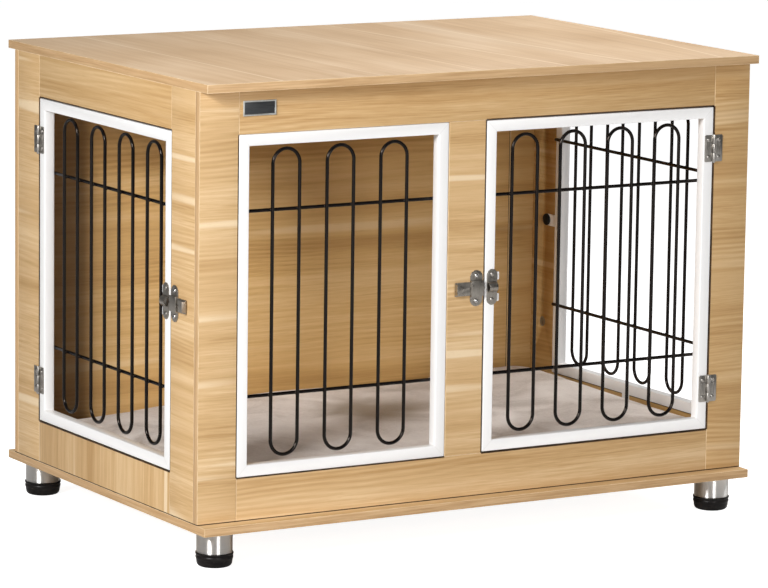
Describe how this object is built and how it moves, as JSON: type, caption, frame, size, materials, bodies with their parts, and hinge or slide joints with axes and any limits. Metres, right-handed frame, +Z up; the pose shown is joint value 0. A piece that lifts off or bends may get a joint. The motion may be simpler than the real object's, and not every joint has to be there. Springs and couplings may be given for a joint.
{
  "type": "dog crate",
  "caption": "Furniture-style wooden dog crate on steel legs: white framed wire panels, swing doors at front and side with slide bolts, plush floor cushion.",
  "frame": {"origin": "on the floor, under the middle of the boards", "axes": "+X to the right as seen from the front, -Y out of the front face, +Z up"},
  "size_m": [0.9088, 0.615, 0.67],
  "materials": {
    "oak": "light oak print with a satin seal",
    "dowel_wood": "bare beech",
    "fixing_steel": "zinc plated",
    "leg_steel": "brushed stainless",
    "black_plastic": "moulded, slightly glossy",
    "white_enamel": "white powder coat",
    "black_enamel": "glossy black powder coat",
    "black_screw": "black oxide",
    "hardware_steel": "nickel plated, satin",
    "nameplate_grey": "dark grey, blank",
    "plush": "short greige plush"
  },
  "bodies": {
    "carcass": {"top_board": "oak", "bottom_board": "oak", "back_panel": "oak", "front_left_stile": "oak", "front_centre_stile": "oak", "front_right_stile": "oak", "front_top_rail": "oak", "front_bottom_rail": "oak", "left_front_stile": "oak", "left_back_stile": "oak", "left_top_rail": "oak", "left_bottom_rail": "oak", "right_front_stile": "oak", "right_back_stile": "oak", "right_top_rail": "oak", "right_bottom_rail": "oak", "dowels": "dowel_wood", "cam_locks": "fixing_steel", "cam_bolts": "fixing_steel", "base_screws": "fixing_steel", "leg_screws": "fixing_steel", "leg_tubes": "leg_steel", "leg_plugs": "black_plastic", "front_panel_frame": "white_enamel", "right_panel_frame": "white_enamel", "panel_tabs": "white_enamel", "front_panel_grille": "black_enamel", "right_panel_grille": "black_enamel", "panel_screws": "black_screw", "hinge_fixed_leaves": "hardware_steel", "hinge_pins": "hardware_steel", "hinge_fixed_screws": "hardware_steel", "front_latch_body": "hardware_steel", "left_latch_body": "hardware_steel", "latch_screws": "hardware_steel", "door_stops": "hardware_steel", "stop_screws": "hardware_steel", "nameplate_rim": "hardware_steel", "nameplate_insert": "nameplate_grey", "cushion": "plush"},
    "front_door": {"front_door_frame": "white_enamel", "front_door_grille": "black_enamel", "front_door_leaves": "hardware_steel", "front_door_screws": "hardware_steel", "front_latch_keeper": "hardware_steel"},
    "left_door": {"left_door_frame": "white_enamel", "left_door_grille": "black_enamel", "left_door_leaves": "hardware_steel", "left_door_screws": "hardware_steel", "left_latch_keeper": "hardware_steel"},
    "front_bolt": {"front_latch_bolt": "hardware_steel"},
    "left_bolt": {"left_latch_bolt": "hardware_steel"},
    "foot_fl": {"foot_front_left": "black_plastic"},
    "foot_fr": {"foot_front_right": "black_plastic"},
    "foot_bl": {"foot_back_left": "black_plastic"},
    "foot_br": {"foot_back_right": "black_plastic"}
  },
  "joints": [
    {"name": "front_door_hinge", "type": "hinge", "parent": "carcass", "child": "front_door", "pos_m": [0.3888, -0.2878, 0.36], "axis": [0, 0, 1], "range_deg": [0, 165]},
    {"name": "left_door_hinge", "type": "hinge", "parent": "carcass", "child": "left_door", "pos_m": [-0.4523, 0.2038, 0.36], "axis": [0, 0, -1], "range_deg": [0, 165]},
    {"name": "front_bolt_slide", "type": "slide", "parent": "carcass", "child": "front_bolt", "axis": [1, 0, 0], "range_m": [0, 0.011]},
    {"name": "left_bolt_slide", "type": "slide", "parent": "carcass", "child": "left_bolt", "axis": [0, 1, 0], "range_m": [0, 0.011]},
    {"name": "foot_fl_thread", "type": "slide", "parent": "carcass", "child": "foot_fl", "axis": [0, 0, -1], "range_m": [0, 0.01]},
    {"name": "foot_fr_thread", "type": "slide", "parent": "carcass", "child": "foot_fr", "axis": [0, 0, -1], "range_m": [0, 0.01]},
    {"name": "foot_bl_thread", "type": "slide", "parent": "carcass", "child": "foot_bl", "axis": [0, 0, -1], "range_m": [0, 0.01]},
    {"name": "foot_br_thread", "type": "slide", "parent": "carcass", "child": "foot_br", "axis": [0, 0, -1], "range_m": [0, 0.01]}
  ]
}
